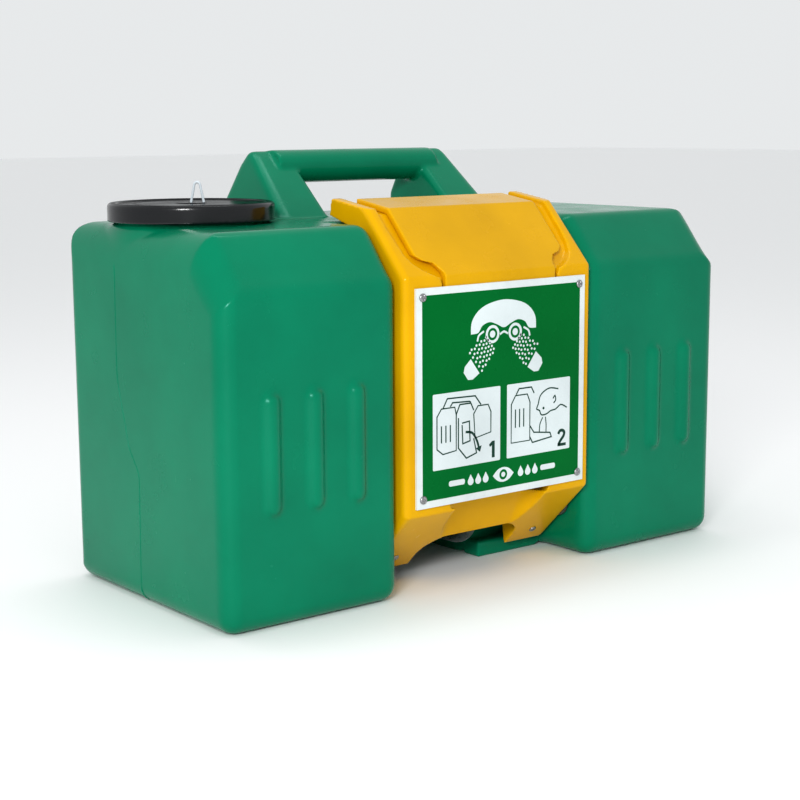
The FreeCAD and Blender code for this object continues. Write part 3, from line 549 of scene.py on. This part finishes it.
def parting_beads():
    """The raised line round each end of the tank where the mould's halves met."""
    low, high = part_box("tank")
    corner = SHOULDER_ROLL
    for name, sign, turned in (("left", -1.0, 0.62), ("right", 1.0, 1.0)):
        out = high[0] - BEAD
        over = [(sign * (high[0] - corner + (corner - BEAD) * math.cos(turn)), PARTING[0][1] * MM,
                 LOBE_TOP - corner + (corner - BEAD + 0.2 * MM) * math.sin(turn))
                for turn in (math.pi / 2 * turned * k / 12 for k in range(12, 0, -1))]
        down = [(sign * out, back * MM, up * MM) for up, back in PARTING]
        under = FOOT_END_ROLL
        foot = [(sign * (high[0] - under + (under - BEAD) * math.cos(turn)), PARTING[-1][1] * MM,
                 under - (under - BEAD) * math.sin(turn)) for turn in (0.2, 0.5, 0.8, 1.1)]
        path = over + bent(down, 14 * MM, 4 * MM) + foot
        solid("parting_bead_" + name, swept(path, BEAD, 12), materials["tank_green"], "tank_body")


def arm_shape(points, normals):
    """Let the arm fill the space between the lobes."""
    reach = np.abs(points[:, 0])
    points[:, 0] += np.sign(points[:, 0]) * ARM_GAIN * ease(reach, 92 * MM, 126 * MM)


def fuller(points, normals):
    """Thicken a wire all round."""
    points += normals * WIRE_GAIN


def cap_shape(points, normals):
    """Sink the cap's top inside its rim and leave a low boss round the vent."""
    low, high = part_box("fill_cap")
    ring = np.hypot(points[:, 0] - (low[0] + high[0]) / 2, points[:, 1] - (low[1] + high[1]) / 2)
    top = (points[:, 2] > high[2] - 1.5 * MM) & (normals[:, 2] > 0.2)
    sink = CAP_SINK * (1 - ease(ring, 76 * MM, 79 * MM)) - BOSS_RISE * (1 - ease(ring, 15 * MM, 18 * MM))
    groove = GROOVE_DEPTH * np.exp(-((ring - GROOVE_RADIUS) / GROOVE_SPREAD) ** 2)
    points[top, 2] -= (sink + groove)[top]


def hose_mesh():
    line = bent([(0.0, back * MM, up * MM) for back, up in HOSE_LINE], HOSE_BEND, 3 * MM)
    return swept(line, HOSE_RADIUS - 0.1 * MM, 32)


# ---------------------------------------------------------------- screws

def screw_mesh(spots, length):
    """Pan heads with a cross recess, each on a shank."""
    shape = bmesh.new()
    rings, around = 18, 72
    for spot, axis in spots:
        turn = Vector((0, 0, 1)).rotation_difference(Vector(axis)).to_matrix()

        def at(a, b, c):
            return shape.verts.new(Vector(spot) + turn @ Vector((a, b, c)))

        last = None
        for k in range(1, rings + 1):
            r = HEAD_RADIUS * k / rings
            row = []
            for i in range(around):
                angle = 2 * math.pi * i / around
                a, b = r * math.cos(angle), r * math.sin(angle)
                height = HEAD_HEIGHT * max(0.0, 1 - (r / HEAD_RADIUS) ** 3.4) ** 0.55
                across, along = min(abs(a), abs(b)), max(abs(a), abs(b))
                if across < RECESS_HALF * HEAD_RADIUS and along < RECESS_REACH * HEAD_RADIUS:
                    height -= RECESS_DEPTH * HEAD_HEIGHT
                row.append(at(a, b, height))
            if last:
                for i in range(around):
                    shape.faces.new((last[i], row[i], row[(i + 1) % around], last[(i + 1) % around]))
            else:
                middle = at(0, 0, (1 - RECESS_DEPTH) * HEAD_HEIGHT)
                for i in range(around):
                    shape.faces.new((middle, row[i], row[(i + 1) % around]))
            last = row
        neck = [at(SHANK * math.cos(2 * math.pi * i / around), SHANK * math.sin(2 * math.pi * i / around), 0)
                for i in range(around)]
        tip = [at(SHANK * math.cos(2 * math.pi * i / around), SHANK * math.sin(2 * math.pi * i / around),
                  -length) for i in range(around)]
        for before, after in ((last, neck), (neck, tip)):
            for i in range(around):
                shape.faces.new((before[i], after[i], after[(i + 1) % around], before[(i + 1) % around]))
        shape.faces.new(tip[::-1])
    bmesh.ops.recalc_face_normals(shape, faces=shape.faces)
    mesh = bpy.data.meshes.new("screws")
    shape.to_mesh(mesh)
    shape.free()
    return mesh


def screws():
    low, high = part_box("sign_screws")
    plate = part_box("sign_plate")[0][1]
    spots = [((x, plate, z), (0, -1, 0))
             for x in (low[0] + HEAD_RADIUS, high[0] - HEAD_RADIUS)
             for z in (low[2] + HEAD_RADIUS, high[2] - HEAD_RADIUS)]
    solid("sign_screw_heads", screw_mesh(spots, SIGN_SCREW_LENGTH), materials["zinc_steel"], "arm",
          ["sign_screws"])
    ears = [((sign * EAR_SCREW[0], EAR_SCREW[1], EAR_SCREW[2]), EAR_AXIS) for sign in (-1, 1)]
    solid("ear_screw_heads", screw_mesh(ears, EAR_SCREW_LENGTH), materials["zinc_steel"], "arm",
          ["ear_screws"])


# ---------------------------------------------------------------- sign

def disc(u, v, radius, count=32, squash=1.0, start=0.0, end=2 * math.pi):
    return [(u + radius * math.cos(start + (end - start) * k / count),
             v + radius * squash * math.sin(start + (end - start) * k / count)) for k in range(count)]


def box_loop(left, bottom, right, top, corner):
    loop = []
    for cx, cy, start in ((right - corner, bottom + corner, -90), (right - corner, top - corner, 0),
                          (left + corner, top - corner, 90), (left + corner, bottom + corner, 180)):
        loop += [(cx + corner * math.cos(math.radians(start + 15 * k)),
                  cy + corner * math.sin(math.radians(start + 15 * k))) for k in range(7)]
    return loop


def curve(points, count=8):
    """A smooth line through points."""
    fine = []
    ends = [points[0]] + list(points) + [points[-1]]
    for a, b, c, d in zip(ends, ends[1:], ends[2:], ends[3:]):
        for k in range(count):
            t = k / count
            fine.append(tuple(0.5 * (2 * q + (r - p) * t + (2 * p - 5 * q + 4 * r - s) * t ** 2
                                     + (3 * q - p - 3 * r + s) * t ** 3)
                              for p, q, r, s in zip(a, b, c, d)))
    return fine + [tuple(points[-1])]


def stroke(points, width):
    """The outline of a line drawn with a pen of some width."""
    points = [Vector(point) for point in points]
    left, right = [], []
    for k, point in enumerate(points):
        before = (point - points[k - 1]).normalized() if k else None
        after = (points[k + 1] - point).normalized() if k + 1 < len(points) else None
        ahead = ((before or after) + (after or before)).normalized()
        across = Vector((-ahead.y, ahead.x))
        reference = before or after
        stretch = 1 / max(0.5, across.dot(Vector((-reference.y, reference.x))))
        left.append(tuple(point + across * width / 2 * stretch))
        right.append(tuple(point - across * width / 2 * stretch))
    return left + right[::-1]


def loop_stroke(points, width):
    """The outline of a closed line: an outer and an inner loop."""
    points = [Vector(point) for point in points]
    outer, inner = [], []
    for k, point in enumerate(points):
        before = (point - points[k - 1]).normalized()
        after = (points[(k + 1) % len(points)] - point).normalized()
        ahead = (before + after).normalized()
        across = Vector((-ahead.y, ahead.x)) * width / 2
        outer.append(tuple(point - across))
        inner.append(tuple(point + across))
    return [outer, inner]


def printed(name, shapes, level, ink):
    """One thin printed layer on the sign: shapes in millimetres from the plate's middle."""
    low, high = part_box("sign_plate")
    middle_x, middle_z = (low[0] + high[0]) / 2, (low[2] + high[2]) / 2
    face, lift = low[1] + INK_SEAT, low[1] - INK_LAYER * level
    shape = bmesh.new()
    for loops in shapes:
        front = [[shape.verts.new((middle_x + u * MM, lift, middle_z + v * MM)) for u, v in loop]
                 for loop in loops]
        back = [[shape.verts.new((middle_x + u * MM, face, middle_z + v * MM)) for u, v in loop]
                for loop in loops]
        flat = [vert for loop in front for vert in loop]
        behind = [vert for loop in back for vert in loop]
        for tri in tessellate_polygon([[Vector((u, v, 0)) for u, v in loop] for loop in loops]):
            if len(set(tri)) == 3:
                shape.faces.new([flat[i] for i in tri])
                shape.faces.new([behind[i] for i in reversed(tri)])
        for ahead, behind_loop in zip(front, back):
            count = len(ahead)
            for i in range(count):
                j = (i + 1) % count
                shape.faces.new((ahead[i], ahead[j], behind_loop[j], behind_loop[i]))
    bmesh.ops.recalc_face_normals(shape, faces=shape.faces)
    mesh = bpy.data.meshes.new(name)
    shape.to_mesh(mesh)
    shape.free()
    solid(name, mesh, materials[ink], "arm", smooth=False)


def spray(side):
    """Drops fanning from a nozzle up towards an eye."""
    drops = []
    foot, eye = Vector((side * 40.0, 33.0)), Vector((side * 14.5, 54.0))
    along = eye - foot
    across = Vector((-along.y, along.x)).normalized()
    for row in range(8):
        t = row / 7
        half = 13.0 - 4.5 * t
        for place in range(5):
            offset = (place / 2 - 1) * half + (0.9 if row % 2 else -0.9)
            spot = foot.lerp(eye, 0.02 + 0.80 * t) + across * offset
            drops.append([disc(spot.x, spot.y, 1.35, 12)])
    return drops


def nozzle(side):
    axis = Vector((side * 0.80, -0.60))
    across = Vector((-axis.y, axis.x))
    middle = Vector((side * 46.5, 23.5))
    corners = [(-8, -10), (3, -9), (8, -5), (8, 5), (3, 9), (-8, 10)]
    return [[tuple(middle + axis * a + across * b) for a, b in corners]]


def face_mark():
    """A plain head with both eyes held over two sprays."""
    dome = curve([(-46, 62), (-45, 74), (-38, 84), (-26, 91), (-8, 95), (8, 95), (26, 91), (38, 84),
                  (45, 74), (46, 62)])
    brow = curve([(46, 62), (36, 63), (30, 70), (20, 73), (10, 70), (0, 66), (-10, 70), (-20, 73),
                  (-30, 70), (-36, 63), (-46, 62)])
    shapes = [[dome + brow[1:-1]]]
    for side in (-1, 1):
        shapes.append([disc(side * 16, 60, 9.6), disc(side * 16, 60, 6.6)])
        shapes.append([disc(side * 16, 60, 3.8)])
        shapes.append([stroke(curve([(side * 28, 64), (side * 35, 60), (side * 37, 54)]), 2.2)])
        shapes += spray(side)
        shapes.append(nozzle(side))
    shapes.append([stroke(curve([(-5.5, 59), (0, 61.5), (5.5, 59)]), 2.2)])
    return shapes


def drop(u, v, size):
    tip = [(u, v + size * 1.25)]
    return [tip + disc(u, v - size * 0.15, size * 0.72, 24, 1.0, math.radians(145), math.radians(395))]


def lower_mark():
    """An eye between drops and bars, where the maker would print words."""
    lid = curve([(-15, -92.5), (-8, -86.5), (0, -84.5), (8, -86.5), (15, -92.5)])
    under = curve([(15, -92.5), (8, -98.5), (0, -100.5), (-8, -98.5), (-15, -92.5)])
    shapes = [[lid + under[1:-1], disc(0, -92.5, 5.6)], [disc(0, -92.5, 2.8)]]
    for side in (-1, 1):
        for k in range(3):
            shapes.append(drop(side * (25 + 10.5 * k), -93.0, 5.6))
        shapes.append([box_loop(min(side * 54, side * 76), -95.5, max(side * 54, side * 76), -89.5, 2.4)])
    return shapes


def arrow(points, width, head):
    line = curve(points)
    tip, before = Vector(line[-1]), Vector(line[-4])
    ahead = (tip - before).normalized()
    across = Vector((-ahead.y, ahead.x))
    return [[stroke(line, width)],
            [[tuple(tip + ahead * head), tuple(tip + across * head * 0.7), tuple(tip - across * head * 0.7)]]]


def step_one():
    """The station seen from its corner, and an arrow pulling the arm down."""
    pen = 1.5
    lobe = [(-92, -54), (-92, -20), (-86, -12), (-68, -12), (-66, -20), (-66, -58), (-84, -60)]
    right = [(-42, -22), (-36, -14), (-22, -14), (-18, -22), (-18, -44), (-40, -48)]
    shapes = [loop_stroke(lobe, pen), loop_stroke(right, pen)]
    shapes.append([stroke([(-66, -20), (-61, -10), (-46, -10), (-42, -18)], pen)])
    shapes.append([stroke([(-84, -12), (-78, -2), (-40, -3), (-32, -13)], pen)])
    shapes.append([stroke([(-74, -11), (-71, -7), (-48, -8), (-46, -9)], pen)])
    shapes.append([stroke([(-63, -24), (-63, -56), (-52, -68), (-38, -64), (-42, -48)], pen)])
    shapes += [[stroke([(u, -30), (u, -48)], pen)] for u in (-86, -80, -74)]
    shapes.append([stroke([(-58, -30), (-48, -29), (-47, -50), (-57, -52), (-58, -32)], pen)])
    shapes += arrow([(-53, -40), (-44, -42), (-38, -50), (-35, -58)], 2.6, 6.0)
    return shapes


def step_two():
    """The arm down, its two sprays running and a head bent over them."""
    pen = 1.5
    shapes = [loop_stroke([(11, -60), (11, -18), (17, -9), (34, -9), (38, -18), (38, -60)], pen)]
    shapes.append([stroke([(18, -8), (22, -2), (40, -2), (44, -9)], pen)])
    shapes.append([stroke([(38, -44), (44, -52), (68, -55), (70, -60), (42, -63), (38, -56)], pen)])
    shapes += [[stroke([(u, -24), (u, -44)], pen)] for u in (17, 23, 29)]
    shapes += [[stroke(curve([(52, -53), (53, -44), (57, -37)]), 1.3)],
               [stroke(curve([(62, -54), (62, -45), (61, -37)]), 1.3)]]
    head = curve([(80, -8), (66, -6), (54, -12), (50, -22), (48, -27), (52, -29), (55, -34), (62, -34),
                  (69, -31), (76, -30), (84, -26), (93, -30)])
    shapes.append([stroke(head, pen)])
    shapes.append([disc(58, -27, 1.5, 16)])
    shapes.append([stroke(curve([(72, -18), (75, -15), (76, -20), (73, -23)]), pen)])
    return shapes


def digits():
    one = [(-16.5, -72), (-12.5, -72), (-12.5, -54), (-16.0, -54), (-20.5, -57.5), (-19.2, -60.2),
           (-16.5, -58.6)]
    two = stroke(curve([(80.5, -58.5), (82.5, -55.5), (86, -54.8), (89.3, -57), (88.6, -61), (84, -66),
                        (80.8, -70.4)]), 3.4)
    return [[one], [two], [[(79.6, -72.2), (92, -72.2), (92, -69.0), (79.6, -69.0)]]]


def sign():
    low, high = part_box("sign_plate")
    half_u, half_v = (high[0] - low[0]) / 2 / MM - SIGN_BORDER, (high[2] - low[2]) / 2 / MM - SIGN_BORDER
    printed("sign_field", [[box_loop(-half_u, -half_v, half_u, half_v, 2.5)]], 1, "ink_green")
    printed("sign_face_mark", face_mark(), 2, "ink_white")
    printed("sign_panels", [[box_loop(-97.5, -76, -4.7, 4, 1.5)], [box_loop(4.8, -76, 97.5, 4, 1.5)]], 2,
            "ink_white")
    printed("sign_lower_mark", lower_mark(), 2, "ink_white")
    printed("sign_step_one", step_one(), 3, "ink_black")
    printed("sign_step_two", step_two(), 3, "ink_black")
    printed("sign_digits", digits(), 3, "ink_black")


# ---------------------------------------------------------------- build

camera()
studio()
floor()
materials = build_materials()
dress_nodes(materials)

solid("tank_moulding", softened("tank", "tank_moulding", 0.0024, 5, 180000, tank_shape),
      materials["tank_green"], "tank_body", ["tank"])
parting_beads()
solid("arm_moulding", softened("arm_frame", "arm_moulding", 0.0015, 3, 160000, arm_shape),
      materials["arm_yellow"], "arm", ["arm_frame"])
solid("hood_moulding", softened("hood", "hood_moulding", 0.0012, 3, 60000),
      materials["hood_yellow"], "arm", ["hood"])
solid("cap_moulding", softened("fill_cap", "cap_moulding", 0.0011, 3, 90000, cap_shape),
      materials["cap_black"], "cap", ["fill_cap"])
loop = frame["nodes"]["vent_loop"].data.copy()
reshaped(loop, fuller)
solid("vent_wire", loop, materials["clear_loop"], "cap", ["vent_loop"])
hose = solid("hose_run", hose_mesh(), materials["hose_clear"], None, ["hose"])
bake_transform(hose)
screws()
sign()
